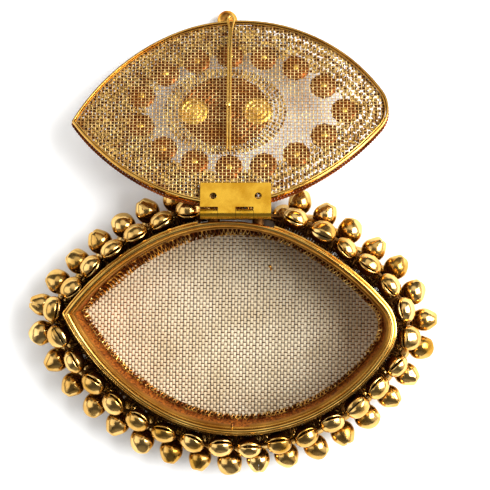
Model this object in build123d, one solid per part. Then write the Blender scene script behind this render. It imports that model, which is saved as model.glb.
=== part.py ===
from build123d import *
import math
import os

os.makedirs("parts", exist_ok=True)

# An almond-shaped brass box clutch with a mesh floor and a mesh lid, trimmed with three rows of jingle
# bells. Millimetres. X runs along the bag, Y from the clasp at the front to the hinge at the back and
# Z up from the surface it stands on. The origin is on that surface, under the middle of the box.
# Everything on the lid is drawn with the lid shut, and then swung open to where it rests.

# The rim's outer edge: tangent arcs, clockwise from the sharp left tip, as (radius, turn in degrees).
TIP = (-70.9, 5.8)
TIP_HEADING = 54.4
OUTLINE_ARCS = (
    (102.5, 29.2),
    (69.8, 51.6),
    (116.2, 23.0),
    (16.2, 73.1),
    (77.4, 38.4),
    (72.2, 48.4),
    (96.5, 34.6),
)

# Box. An inset is a distance inwards from the rim's outer edge.
RIM_TOP = 37.0
RIM_WIDTH = 2.2
RIM_HEIGHT = 2.0
RIM_ROUND = 0.6
WALL_INSET = 0.6
WALL = 1.0
RIM_WIRE = 1.0
RIM_WIRE_DROP = 2.4
LIP_INSET = 2.9
LIP = 0.6
LIP_TOP = 36.6
LIP_FOOT = 30.0
NOTCH_FROM, NOTCH_TO = 1.8, 7.6
TONGUE_X = 0.8
FLOOR_HOOP = 1.0
MESH = 0.7
FRONT_Y = -44.9

# Hinge: four equal knuckles on one pin, base, lid, base, lid from the left.
HINGE_X = 2.45
HINGE_LENGTH = 30.1
HINGE_Y = 48.5
BARREL_RADIUS = 2.1
PIN_RADIUS = 0.95
PIN_CLEARANCE = 0.05
LEAF = 0.9
LEAF_DEPTH = 13.3
LEAF_GAP = 0.4
KNUCKLES = 4
KNUCKLE_GAP = 0.16
KNUCKLE_SLOT = 2.35
LEAF_HOLE = 3.0
LEAF_HOLE_SPACING = 19.1
LEAF_HOLE_DEPTH = 7.3
RIVET_HEAD = 4.2
RIVET_HEAD_HEIGHT = 0.7
SPACER = 5.0
HINGE_Z = RIM_TOP + LEAF_GAP + BARREL_RADIUS
OPEN_ANGLE = 198.0

# Lid, drawn shut.
LID_INSET = 1.2
FRAME = 1.0
INNER_STRIP = 0.8
FRAME_Z = RIM_TOP + LEAF_GAP + LEAF
FRAME_HEIGHT = 3.0
MESH_Z = FRAME_Z + 1.2
LID_TOP = MESH_Z + MESH
ROPE = 1.3
BEAD_ROWS = 3
BEAD = 1.9
BEAD_PITCH = 2.2
BEAD_INSET = 3.3
DISC = 12.0
DISC_HEIGHT = 0.9
DISC_STUD = 5.0
DISC_COUNT = 15
DISC_RING = (45.5, 27.0)
DISC_RING_CENTRE = (4.3, -0.3)
MEDALLION = (39.0, 34.0)
MEDALLION_X = -2.4
MEDALLION_HEIGHT = 1.0
BEAD_RING = (50.0, 39.6)
BEAD_RING_GAP = 0.2
BOSS = 9.0
BOSS_SPACING = 28.0

# Clasp: a hairpin spring that turns on one rivet, with a ball on a short stem at its eye.
SPRING_WIRE = 0.9
SPRING_SPREAD = 1.2
SPRING_Z = 36.2
EYE_Z = RIM_TOP + 0.7
EYE_FRONT = -46.0
EYE_LENGTH = 4.6
EYE_WIDTH = 2.8
EYE_X = -0.4
PIVOT = (-0.8, -0.8)
TAIL_Y = 20.8
PIVOT_RADIUS = 0.5
PIVOT_HEAD = 2.4
BALL_RADIUS = 4.4
BALL = (-2.2, -47.6, 44.9)
STEM_RADIUS = 0.45

# Bells: each is laced by its loop to the wire of its own row. The upper row stands mouth up, the lower
# row lies mouth outwards, and the foot row hangs mouth down behind it. Towards the left tip each row
# has slipped forwards by its slip.
BELL_RADIUS = 5.4
BELL_SHEET = 0.5
CHEEK_ANGLE = 52.0
CHEEK_FLAT = 0.6
SLIT = 1.1
SLIT_END = 0.9
LOOP_RADIUS = 1.5
LOOP_WIRE = 0.4
PELLET_RADIUS = 1.5
LACING_WIRE = 1.0
POST_RADIUS = 0.6
POST_EVERY = 3
UPPER_ROW = {
    "count": 29,
    "out": 7.0,
    "height": 28.0,
    "mouth": (-0.12, 1.0),
    "slip": 2.3,
    "gap": 35.5,
    "gap_x": 5.0,
    "roll": 0.0,
    "roll_spread": 12.0,
}
LOWER_ROW = {
    "count": 31,
    "out": 15.0,
    "height": 15.5,
    "mouth": (1.0, -0.2),
    "slip": 3.2,
    "gap": 44.0,
    "gap_x": 1.7,
    "roll": 62.0,
    "roll_spread": 34.0,
}
FOOT_ROW = {
    "count": 32,
    "out": 7.6,
    "height": 6.4,
    "mouth": (0.6, -1.0),
    "slip": 2.3,
    "gap": 0.0,
    "gap_x": 5.0,
    "roll": 0.0,
    "roll_spread": 25.0,
}
SLIP_REACH = 60.0


def outline_arcs(inset=0.0):
    """The outline moved inwards: (centre, radius, heading at its start, heading at its end)."""
    x, y = TIP
    heading = math.radians(TIP_HEADING)
    arcs = []
    for radius, turn in OUTLINE_ARCS:
        centre = (x + radius * math.sin(heading), y - radius * math.cos(heading))
        end = heading - math.radians(turn)
        arcs.append((centre, radius - inset, heading, end))
        x = centre[0] - radius * math.sin(end)
        y = centre[1] + radius * math.cos(end)
        heading = end
    return arcs


def arc_point(centre, radius, heading):
    """The point of a clockwise arc where it runs in that heading."""
    return (centre[0] - radius * math.sin(heading), centre[1] + radius * math.cos(heading))


def arc_heading(centre, point):
    return math.atan2(centre[0] - point[0], point[1] - centre[1])


def tip_point(arcs):
    """Where the last arc meets the first, at the sharp left end."""
    (ax, ay), ra = arcs[0][:2]
    (bx, by), rb = arcs[-1][:2]
    gap = math.hypot(bx - ax, by - ay)
    along = (gap * gap + ra * ra - rb * rb) / (2 * gap)
    across = math.sqrt(ra * ra - along * along)
    ux, uy = (bx - ax) / gap, (by - ay) / gap
    return (ax + along * ux - across * uy, ay + along * uy + across * ux)


def outline_face(inset):
    arcs = outline_arcs(inset)
    tip = tip_point(arcs)
    edges = []
    for index, (centre, radius, start, end) in enumerate(arcs):
        first = tip if index == 0 else arc_point(centre, radius, start)
        last = tip if index == len(arcs) - 1 else arc_point(centre, radius, end)
        if index == 0:
            start = arc_heading(centre, tip)
        if index == len(arcs) - 1:
            end = arc_heading(centre, tip)
            while end > start:
                end -= 2 * math.pi
        middle = arc_point(centre, radius, (start + end) / 2)
        edges.append(Edge.make_three_point_arc(Vector(*first), Vector(*middle), Vector(*last)))
    return Face(Wire(edges))


def plate(inset, bottom, top):
    """The outline's whole area between two heights."""
    return Pos(0, 0, bottom) * extrude(outline_face(inset), top - bottom, dir=(0, 0, 1))


def band(outer, inner, bottom, top):
    """A strip that follows the outline, between two insets and two heights."""
    return plate(outer, bottom, top) - plate(inner, bottom - 1, top + 1)


def block(x, y, z):
    """A box from its limits along each axis."""
    size = Box(x[1] - x[0], y[1] - y[0], z[1] - z[0])
    return Pos((x[0] + x[1]) / 2, (y[0] + y[1]) / 2, (z[0] + z[1]) / 2) * size


def rod(start, end, radius):
    """A round bar from one point to another."""
    axis = Vector(*end) - Vector(*start)
    return Plane(origin=start, z_dir=axis) * Pos(0, 0, axis.length / 2) * Cylinder(radius, axis.length)


def export(name, *pieces):
    """Writes one node, from one solid or a group of separate ones."""
    solids = [solid for piece in pieces for solid in piece.solids()]
    export_step(solids[0] if len(solids) == 1 else Compound(children=solids), f"parts/{name}.step")


# Box


def hinge_room():
    """The space at the back that trim leaves free for the hinge."""
    half = HINGE_LENGTH / 2 + 0.6
    return block((HINGE_X - half, HINGE_X + half), (40, 60), (-1, 60))


def base_rim():
    rim = band(0, RIM_WIDTH, RIM_TOP - RIM_HEIGHT, RIM_TOP)
    rim = fillet(rim.edges().group_by(Axis.Z)[-1], RIM_ROUND)
    return rim - band(WALL_INSET, WALL_INSET + WALL, 0, RIM_TOP - RIM_ROUND)


def base_wall():
    return band(WALL_INSET, WALL_INSET + WALL, 0, RIM_TOP - RIM_ROUND) - Compound(rivet_shanks())


def rim_wire():
    top = RIM_TOP - RIM_WIRE_DROP + RIM_WIRE
    return band(-RIM_WIRE, 0, top - RIM_WIRE, top) - hinge_room()


def inner_lip():
    inside = WALL_INSET + WALL
    foot = band(inside, LIP_INSET + LIP, LIP_FOOT, LIP_FOOT + LIP)
    lip = foot + band(LIP_INSET, LIP_INSET + LIP, LIP_FOOT, LIP_TOP)
    return lip - block((NOTCH_FROM, NOTCH_TO), (-60, -30), (LIP_FOOT + LIP, RIM_TOP))


def catch_tongue():
    width, height = 1.0, 0.8
    tongue = block(
        (TONGUE_X - width / 2, TONGUE_X + width / 2),
        (FRONT_Y + RIM_WIDTH - 0.5, FRONT_Y + LIP_INSET + LIP + 0.6),
        (LIP_TOP - height, LIP_TOP + 0.2),
    )
    return tongue - base_rim() - inner_lip()


def floor_mesh():
    return plate(WALL_INSET + WALL, 0, MESH)


def floor_hoop():
    """A wire soldered round the inside of the wall, on the edge of the floor mesh."""
    inside = WALL_INSET + WALL
    return band(inside, inside + FLOOR_HOOP, MESH, MESH + FLOOR_HOOP)


# Hinge


def hinge_holes():
    """Where along X the two holes of each leaf are."""
    return (HINGE_X - LEAF_HOLE_SPACING / 2, HINGE_X + LEAF_HOLE_SPACING / 2)


def rivet_shanks():
    height = HINGE_Z - LEAF_HOLE_DEPTH
    outside = HINGE_Y - BARREL_RADIUS + LEAF
    return [rod((x, 41.0, height), (x, outside, height), LEAF_HOLE / 2) for x in hinge_holes()]


def base_leaf_rivets():
    height = HINGE_Z - LEAF_HOLE_DEPTH
    outside = HINGE_Y - BARREL_RADIUS + LEAF
    rivets = []
    for x, shank in zip(hinge_holes(), rivet_shanks()):
        head = rod((x, outside, height), (x, outside + RIVET_HEAD_HEIGHT, height), RIVET_HEAD / 2)
        rivets.append(shank - plate(WALL_INSET + WALL, 0, RIM_TOP) + head)
    return rivets


def hinge_spacers():
    height = HINGE_Z - LEAF_HOLE_DEPTH
    inside = HINGE_Y - BARREL_RADIUS
    tubes = [rod((x, 41.0, height), (x, inside, height), SPACER / 2) for x in hinge_holes()]
    return [tube - plate(WALL_INSET, 0, RIM_TOP) - Compound(rivet_shanks()) for tube in tubes]


def knuckle_span(index):
    length = HINGE_LENGTH / KNUCKLES
    start = HINGE_X - HINGE_LENGTH / 2 + index * length
    return (start + KNUCKLE_GAP / 2, start + length - KNUCKLE_GAP / 2)


def barrel(index):
    start, end = knuckle_span(index)
    return rod((start, HINGE_Y, HINGE_Z), (end, HINGE_Y, HINGE_Z), BARREL_RADIUS)


def knuckle_room(index):
    """What the other leaf gives up so that this knuckle can turn."""
    start, end = knuckle_span(index)
    return block(
        (start - KNUCKLE_GAP, end + KNUCKLE_GAP),
        (HINGE_Y - KNUCKLE_SLOT, HINGE_Y + KNUCKLE_SLOT),
        (HINGE_Z - KNUCKLE_SLOT, HINGE_Z + KNUCKLE_SLOT),
    )


def leaf_with_knuckles(leaf, own, others):
    for index in others:
        leaf -= knuckle_room(index)
    for index in own:
        leaf += barrel(index)
    bore = PIN_RADIUS + PIN_CLEARANCE
    ends = HINGE_LENGTH
    return leaf - rod((HINGE_X - ends, HINGE_Y, HINGE_Z), (HINGE_X + ends, HINGE_Y, HINGE_Z), bore)


def leaf_ends():
    return (HINGE_X - HINGE_LENGTH / 2, HINGE_X + HINGE_LENGTH / 2)


def base_hinge_leaf():
    face = HINGE_Y - BARREL_RADIUS
    leaf = block(leaf_ends(), (face, face + LEAF), (HINGE_Z - LEAF_DEPTH, HINGE_Z))
    leaf -= Compound(rivet_shanks())
    return leaf_with_knuckles(leaf, (0, 2), (1, 3))


def lid_hinge_leaf():
    face = HINGE_Z - BARREL_RADIUS
    leaf = block(leaf_ends(), (HINGE_Y - LEAF_DEPTH, HINGE_Y), (face, face + LEAF))
    for x in hinge_holes():
        y = HINGE_Y - LEAF_HOLE_DEPTH
        leaf -= rod((x, y, face - 1), (x, y, face + 3), LEAF_HOLE / 2)
    return leaf_with_knuckles(leaf, (1, 3), (0, 2))


def hinge_pin():
    start, end = leaf_ends()
    return rod((start, HINGE_Y, HINGE_Z), (end, HINGE_Y, HINGE_Z), PIN_RADIUS)


# Lid, drawn shut


def lid_frame():
    return band(LID_INSET, LID_INSET + FRAME, FRAME_Z, FRAME_Z + FRAME_HEIGHT)


def lid_inner_strip():
    inside = LID_INSET + FRAME
    return band(inside, inside + INNER_STRIP, FRAME_Z, MESH_Z)


def lid_mesh():
    pivot = rod((*PIVOT, MESH_Z - 1), (*PIVOT, LID_TOP + 1), PIVOT_RADIUS)
    return plate(LID_INSET + FRAME, MESH_Z, LID_TOP) - pivot


def rope_trim():
    """The cord of twisted wire on the frame's outer face, left out where the ball swings."""
    top = FRAME_Z + FRAME_HEIGHT
    trim = band(LID_INSET, LID_INSET + ROPE, top, top + ROPE)
    return trim - block((-8.0, 9.0), (-60, -30), (top - 1, top + 5))


def border_beads():
    rows = []
    for row in range(BEAD_ROWS):
        inset = BEAD_INSET + row * BEAD_PITCH
        rows.append(band(inset, inset + BEAD, LID_TOP, LID_TOP + BEAD / 2))
    return rows


def disc_places():
    """Even places round a ring that is elliptic on the left and comes to a point on the right."""
    reach, rise = DISC_RING
    left = Edge.make_ellipse(reach, rise, start_angle=90, end_angle=270)
    radius = (reach * reach + rise * rise) / (2 * rise)
    turn = math.asin(reach / radius) / 2
    half = (radius * math.sin(turn), radius * math.cos(turn) - (radius - rise))
    back = ThreePointArc((reach, 0), half, (0, rise))
    front = ThreePointArc((0, -rise), (half[0], -half[1]), (reach, 0))
    ring = Pos(*DISC_RING_CENTRE) * Wire([back.edge(), left, front.edge()])
    places = [ring.position_at(index / DISC_COUNT) for index in range(DISC_COUNT)]
    return [(place.X, place.Y) for place in places]


def lid_discs():
    base = LID_TOP + DISC_HEIGHT / 2
    disc = Cylinder(DISC / 2, DISC_HEIGHT) - Cylinder(DISC_STUD / 2, DISC_HEIGHT)
    return [Pos(x, y, base) * disc for x, y in disc_places()]


def disc_studs():
    """A domed rivet through the middle of each disc."""
    rise = DISC_HEIGHT + 0.8
    stud = fillet(Cylinder(DISC_STUD / 2, rise).edges().group_by(Axis.Z)[-1], 0.7)
    return [Pos(x, y, LID_TOP + rise / 2) * stud for x, y in disc_places()]


def oval(size, bottom, height):
    outline = Wire(Edge.make_ellipse(size[0] / 2, size[1] / 2))
    return Pos(MEDALLION_X, 0, bottom) * extrude(Face(outline), height)


def centre_medallion():
    bosses = Compound(medallion_bosses())
    pivot = rod((*PIVOT, LID_TOP - 1), (*PIVOT, LID_TOP + 5), PIVOT_RADIUS)
    return oval(MEDALLION, LID_TOP, MEDALLION_HEIGHT) - bosses - pivot


def medallion_bead_ring():
    inner = [size + 2 * BEAD_RING_GAP for size in MEDALLION]
    return oval(BEAD_RING, LID_TOP, BEAD / 2) - oval(inner, LID_TOP - 1, BEAD + 2)


def medallion_bosses():
    rise = MEDALLION_HEIGHT + 1.5
    boss = fillet(Cylinder(BOSS / 2, rise).edges().group_by(Axis.Z)[-1], 1.3)
    places = (MEDALLION_X - BOSS_SPACING / 2, MEDALLION_X + BOSS_SPACING / 2)
    return [Pos(x, 0, LID_TOP + rise / 2) * boss for x in places]


# Clasp, drawn with the lid shut


def spring_strand(side):
    """One leg of the hairpin, from its free tail over the pivot to the eye."""
    shift = side * SPRING_SPREAD / 2
    points = [
        (PIVOT[0] + shift, TAIL_Y, SPRING_Z),
        (PIVOT[0] + shift, -28.0, SPRING_Z),
        (EYE_X + shift, -38.5, EYE_Z),
        (EYE_X + shift, EYE_FRONT + EYE_LENGTH - 0.6, EYE_Z),
    ]
    strand = None
    for start, end in zip(points, points[1:]):
        run = rod(start, end, SPRING_WIRE / 2) + Pos(*end) * Sphere(SPRING_WIRE / 2)
        strand = run if strand is None else strand + run
    return strand


def latch_spring():
    loop = SlotOverall(EYE_LENGTH, EYE_WIDTH, rotation=90)
    loop -= SlotOverall(EYE_LENGTH - 2 * SPRING_WIRE, EYE_WIDTH - 2 * SPRING_WIRE, rotation=90)
    eye = Pos(EYE_X, EYE_FRONT + EYE_LENGTH / 2, EYE_Z - SPRING_WIRE / 2) * extrude(loop, SPRING_WIRE)
    bore = PIVOT_RADIUS + PIN_CLEARANCE
    hole = rod((*PIVOT, SPRING_Z - 3), (*PIVOT, SPRING_Z + 3), bore)
    return eye + spring_strand(-1) + spring_strand(1) - hole


def pivot_rivet():
    """The rivet that the spring turns on: its head is under the spring, its shank goes up to the lid."""
    head_top = SPRING_Z - SPRING_WIRE / 2 - 0.1
    head = rod((*PIVOT, head_top - 0.6), (*PIVOT, head_top), PIVOT_HEAD / 2)
    return head + rod((*PIVOT, head_top), (*PIVOT, LID_TOP + MEDALLION_HEIGHT), PIVOT_RADIUS)


def pivot_collar():
    """A short tube on the rivet that keeps the spring off the mesh."""
    bottom = SPRING_Z + SPRING_WIRE / 2 + 0.1
    tube = rod((*PIVOT, bottom), (*PIVOT, MESH_Z), 1.1)
    return tube - rod((*PIVOT, bottom - 1), (*PIVOT, MESH_Z + 1), PIVOT_RADIUS)


def thumb_ball():
    return Pos(*BALL) * Sphere(BALL_RADIUS)


def ball_stem():
    foot = (EYE_X, EYE_FRONT + SPRING_WIRE / 2, EYE_Z + SPRING_WIRE / 2)
    return rod(foot, BALL, STEM_RADIUS) - thumb_ball() - latch_spring()


# Bells


def stations(row):
    """Even places around the box, out from the rim's edge, as (x, y, heading), clear of the hinge.
    They run clockwise from the right of the hinge."""
    arcs = outline_arcs(-row["out"])
    corner = (tip_point(outline_arcs()), row["out"], arcs[-1][3], arcs[0][2] - 2 * math.pi)
    arcs.append(corner)
    lengths = [radius * (start - end) for _, radius, start, end in arcs]
    crown_centre, crown_radius, crown_start, _ = arcs[1]
    crown_turn = crown_start - arc_heading(crown_centre, (row["gap_x"], HINGE_Y))
    hinge = lengths[0] + crown_radius * crown_turn
    pitch = (sum(lengths) - row["gap"]) / row["count"]
    places = []
    for index in range(row["count"]):
        place = (hinge + row["gap"] / 2 + (index + 0.5) * pitch) % sum(lengths)
        for (centre, radius, start, _), length in zip(arcs, lengths):
            if place < length:
                heading = start - place / radius
                places.append((*arc_point(centre, radius, heading), heading))
                break
            place -= length
    return places


def bell_frames(row):
    """Each bell's own frame: the centre of the bell, local Z out through its mouth and local X along
    its slit, which is turned a little from bell to bell."""
    frames = []
    for index, (x, y, heading) in enumerate(stations(row)):
        along = Vector(math.cos(heading), math.sin(heading), 0)
        outward = Vector(-math.sin(heading), math.cos(heading), 0)
        slip = -row["slip"] * outward.Y * min(1, max(0, -x / SLIP_REACH))
        centre = Vector(x, y, row["height"]) + outward * slip
        mouth = outward * row["mouth"][0] + Vector(0, 0, row["mouth"][1])
        roll = math.radians(row["roll"] + row["roll_spread"] * math.sin(2.4 * index))
        slit = along * math.cos(roll) + mouth.normalized().cross(along) * math.sin(roll)
        frames.append(Plane(origin=centre, x_dir=slit, z_dir=mouth))
    return frames


def pressed_ball(radius):
    """A ball whose two cheeks are pressed flat, so that they slope up to the mouth at the top."""
    ball = Sphere(radius)
    for side in (1, -1):
        beyond = Pos(0, 0, 2 * radius - CHEEK_FLAT) * Box(4 * radius, 4 * radius, 2 * radius)
        ball -= Rot(side * CHEEK_ANGLE, 0, 0) * beyond
    return ball


def bell_shell():
    """A bell at the origin: its mouth is a slit along X at the top, with a round hole at each end."""
    shell = pressed_ball(BELL_RADIUS) - pressed_ball(BELL_RADIUS - BELL_SHEET)
    slit = block((-BELL_RADIUS, BELL_RADIUS), (-SLIT / 2, SLIT / 2), (SLIT_END, BELL_RADIUS + 1))
    ends = Rot(0, 90, 0) * Cylinder(SLIT_END, 2 * BELL_RADIUS + 1)
    return shell - slit - Pos(0, 0, SLIT_END) * ends


def loop_drop():
    """How far behind the bell's centre the middle of its loop is."""
    return BELL_RADIUS + LOOP_RADIUS - LOOP_WIRE


def lacing_points(row):
    return [frame.origin - frame.z_dir * loop_drop() for frame in bell_frames(row)]


def bells(row):
    shell = bell_shell()
    return [frame * shell for frame in bell_frames(row)]


def bell_loops(row):
    """The wire loop behind each bell, lying across the lacing wire."""
    ring = Torus(LOOP_RADIUS, LOOP_WIRE) - Pos(loop_drop(), 0, 0) * Sphere(BELL_RADIUS)
    loops = []
    for frame, (_, _, heading) in zip(bell_frames(row), stations(row)):
        along = Vector(math.cos(heading), math.sin(heading), 0)
        centre = frame.origin - frame.z_dir * loop_drop()
        loops.append(Plane(origin=centre, x_dir=frame.z_dir, z_dir=along) * ring)
    return loops


def pellets(row):
    """The pellet at the bottom of each bell, on a pressed cheek where the mouth hangs down."""
    pressed = CHEEK_FLAT if row["mouth"][1] < 0 else 0
    drop = BELL_RADIUS - BELL_SHEET - PELLET_RADIUS - pressed - 0.05
    return [Pos(*frame.origin) * Pos(0, 0, -drop) * Sphere(PELLET_RADIUS) for frame in bell_frames(row)]


def lacing_wire(row):
    """One wire drawn straight from loop to loop, and across the back under the hinge."""
    points = lacing_points(row)
    wire = None
    for start, end in zip(points, points[1:] + points[:1]):
        run = rod(start, end, LACING_WIRE / 2) + Pos(*end) * Sphere(LACING_WIRE / 2)
        wire = run if wire is None else wire + run
    return wire


def lacing_posts(row):
    """Studs on the wall that hold the lacing wire off it, between one bell and the next."""
    points = lacing_points(row)
    outwards = [Vector(-math.sin(heading), math.cos(heading), 0) for _, _, heading in stations(row)]
    wall = plate(WALL_INSET, 0, RIM_TOP)
    wire = lacing_wire(row)
    posts = []
    for index in range(1, len(points) - 1, POST_EVERY):
        middle = (points[index] + points[index + 1]) * 0.5
        inwards = (outwards[index] + outwards[index + 1]).normalized() * -1
        posts.append(rod(middle, middle + inwards * (row["out"] + 3), POST_RADIUS) - wall - wire)
    return posts


# Writing the parts


def open_lid(piece):
    """A piece drawn with the lid shut, swung back to where the open lid rests."""
    axis = Axis((0, HINGE_Y, HINGE_Z), (1, 0, 0))
    return piece.rotate(axis, -OPEN_ANGLE)


BASE = {
    "base_wall": base_wall,
    "base_rim": base_rim,
    "rim_wire": rim_wire,
    "inner_lip": inner_lip,
    "catch_tongue": catch_tongue,
    "floor_mesh": floor_mesh,
    "floor_hoop": floor_hoop,
    "base_hinge_leaf": base_hinge_leaf,
    "hinge_pin": hinge_pin,
    "base_leaf_rivets": base_leaf_rivets,
    "hinge_spacers": hinge_spacers,
}

BELL_ROWS = {"upper": UPPER_ROW, "lower": LOWER_ROW, "foot": FOOT_ROW}

ROW_PIECES = {
    "bells": bells,
    "bell_loops": bell_loops,
    "pellets": pellets,
    "lacing_wire": lacing_wire,
    "lacing_posts": lacing_posts,
}

LID = {
    "lid_frame": lid_frame,
    "lid_inner_strip": lid_inner_strip,
    "lid_mesh": lid_mesh,
    "lid_hinge_leaf": lid_hinge_leaf,
    "rope_trim": rope_trim,
    "border_beads": border_beads,
    "lid_discs": lid_discs,
    "disc_studs": disc_studs,
    "centre_medallion": centre_medallion,
    "medallion_bead_ring": medallion_bead_ring,
    "medallion_bosses": medallion_bosses,
    "pivot_rivet": pivot_rivet,
    "pivot_collar": pivot_collar,
    "latch_spring": latch_spring,
    "thumb_ball": thumb_ball,
    "ball_stem": ball_stem,
}


def as_list(made):
    return made if isinstance(made, list) else [made]


for name, make in BASE.items():
    export(name, *as_list(make()))

for row_name, row in BELL_ROWS.items():
    for name, make in ROW_PIECES.items():
        export(f"{row_name}_{name}", *as_list(make(row)))

for name, make in LID.items():
    export(name, *[open_lid(piece) for piece in as_list(make())])
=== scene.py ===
import random
from math import asin, atan2, ceil, cos, exp, floor, hypot, pi, radians, sin, sqrt

import bpy
import numpy as np
from mathutils import Matrix, Vector


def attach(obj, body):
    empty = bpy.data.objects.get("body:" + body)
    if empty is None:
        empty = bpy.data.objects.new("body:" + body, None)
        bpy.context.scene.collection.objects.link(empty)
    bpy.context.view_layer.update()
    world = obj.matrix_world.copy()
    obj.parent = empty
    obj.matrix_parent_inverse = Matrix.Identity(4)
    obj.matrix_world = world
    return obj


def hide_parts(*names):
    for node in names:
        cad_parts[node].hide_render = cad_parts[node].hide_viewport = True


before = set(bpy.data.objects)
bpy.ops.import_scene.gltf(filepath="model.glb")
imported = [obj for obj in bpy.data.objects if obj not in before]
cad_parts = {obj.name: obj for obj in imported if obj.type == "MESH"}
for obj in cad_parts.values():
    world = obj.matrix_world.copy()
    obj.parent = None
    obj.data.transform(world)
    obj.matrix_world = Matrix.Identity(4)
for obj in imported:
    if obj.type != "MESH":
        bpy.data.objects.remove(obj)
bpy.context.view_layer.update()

# Lengths are in millimetres up to the point where a mesh is made.
MM = 0.001

# The rim's outline: its sharp tip, the heading there in degrees, and each arc's radius and turn.
TIP = (-70.9, 5.8)
TIP_HEADING = 54.4
OUTLINE_ARCS = [
    (102.5, 29.2), (69.8, 51.6), (116.2, 23.0), (16.2, 73.1), (77.4, 38.4), (72.2, 48.4), (96.5, 34.6),
]
OUTLINE_STEP = 1.3

# The box, from the table up. The hinge side is beyond SIDE_Y and the clasp's side is beyond -SIDE_Y.
FLOOR_LEVEL = 0.8
WALL_TOP = 35.9
RIM_TOP = 37.0
SIDE_Y = 30.0
NOTCH = (1.8, 7.6)

# The hinge's axis and the lid as it lies when it is shut.
HINGE_X, HINGE_Y, HINGE_Z = 2.45, 48.5, 39.5
HINGE_LENGTH = 30.1
OPEN_ANGLE = 198.0
LID_BOTTOM = 38.3
LID_MESH_LEVEL = 39.85
LID_TOP = 40.2

UP = np.array([0.0, 0.0, 1.0])


# The outline


def outline_arcs(inset):
    """The outline moved inwards: (centre, radius, heading at its start, heading at its end)."""
    x, y = TIP
    heading = radians(TIP_HEADING)
    arcs = []
    for radius, turn in OUTLINE_ARCS:
        centre = (x + radius * sin(heading), y - radius * cos(heading))
        end = heading - radians(turn)
        arcs.append((centre, radius - inset, heading, end))
        x = centre[0] - radius * sin(end)
        y = centre[1] + radius * cos(end)
        heading = end
    return arcs


def arc_point(centre, radius, heading):
    """The point of an arc where a clockwise walk has this heading."""
    return (centre[0] - radius * sin(heading), centre[1] + radius * cos(heading))


def arc_heading(centre, point):
    """The heading of a clockwise walk about the centre, at a point."""
    return atan2(centre[0] - point[0], point[1] - centre[1])


def tip_point(arcs):
    """The sharp tip, where the first and last arcs cross."""
    (ax, ay), ra = arcs[0][:2]
    (bx, by), rb = arcs[-1][:2]
    gap = hypot(bx - ax, by - ay)
    along = (gap * gap + ra * ra - rb * rb) / (2 * gap)
    across = sqrt(ra * ra - along * along)
    ux, uy = (bx - ax) / gap, (by - ay) / gap
    return (ax + along * ux - across * uy, ay + along * uy + across * ux)


def outline(inset, step=OUTLINE_STEP):
    """Points along the outline at an inset, clockwise from the tip. Every inset has the same count."""
    arcs = outline_arcs(inset)
    tip = tip_point(arcs)
    points = []
    for index, (centre, radius, start, end) in enumerate(arcs):
        full, turn = OUTLINE_ARCS[index]
        count = max(4, int(round(full * radians(turn) / step)))
        if index == 0:
            start = arc_heading(centre, tip)
        if index == len(arcs) - 1:
            end = arc_heading(centre, tip)
            while end > start:
                end -= 2 * pi
        for k in range(count):
            points.append(arc_point(centre, radius, start + (end - start) * k / count))
    return np.array(points)


def tangents(points):
    """Unit vectors along a closed ring of points."""
    ahead = np.roll(points, -1, axis=0) - np.roll(points, 1, axis=0)
    return ahead / np.linalg.norm(ahead, axis=1, keepdims=True)


# Meshes


def opened(points):
    """Lid points drawn with the lid shut, swung back to where the open lid rests."""
    turn = -radians(OPEN_ANGLE)
    x, y, z = (points - [0.0, HINGE_Y, HINGE_Z]).T
    turned = np.column_stack([x, y * cos(turn) - z * sin(turn), y * sin(turn) + z * cos(turn)])
    return turned + [0.0, HINGE_Y, HINGE_Z]


class Build:
    """Collects points and faces of one piece."""

    def __init__(self):
        self.points = []
        self.faces = []
        self.count = 0

    def add(self, points, faces):
        points = np.asarray(points, dtype=float)
        self.points.append(points)
        self.faces.extend([tuple(i + self.count for i in face) for face in faces])
        self.count += len(points)

    def grid(self, rows, close_rows=False, close_columns=False):
        """Rows of points, each with the same number, joined by quads."""
        rows = [np.asarray(row, dtype=float) for row in rows]
        width = len(rows[0])
        faces = []
        last_row = len(rows) if close_rows else len(rows) - 1
        last_column = width if close_columns else width - 1
        for r in range(last_row):
            s = (r + 1) % len(rows)
            for c in range(last_column):
                d = (c + 1) % width
                faces.append((r * width + c, r * width + d, s * width + d, s * width + c))
        self.add(np.concatenate(rows), faces)

    def cap(self, first, count, step=1, flip=False):
        """Closes an end with one face over points that are a step apart."""
        corners = [first + k * step for k in range(count)]
        self.faces.append(tuple(corners[::-1] if flip else corners))

    def make(self, name, material, body, slot, stands_for=(), angle=35):
        """Pieces on the lid and latch are drawn shut."""
        points = np.concatenate(self.points)
        if body != "base":
            points = opened(points)
        mesh = bpy.data.meshes.new(name)
        mesh.from_pydata((points * MM).tolist(), [], self.faces)
        mesh.update()
        mesh.shade_smooth()
        mesh.set_sharp_from_angle(angle=radians(angle))
        piece = bpy.data.objects.new(name, mesh)
        bpy.context.collection.objects.link(piece)
        mesh.materials.append(material)
        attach(piece, body)
        for node in stands_for:
            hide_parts(node)


def runs(mask):
    """Index lists of the kept stretches round a closed ring."""
    total = len(mask)
    if mask.all():
        return [list(range(total))], True
    if not mask.any():
        return [], False
    first = next(i for i in range(total) if mask[i] and not mask[i - 1])
    found, run = [], []
    for step in range(total):
        i = (first + step) % total
        if mask[i]:
            run.append(i)
        elif run:
            found.append(run)
            run = []
    if run:
        found.append(run)
    return found, False


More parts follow.
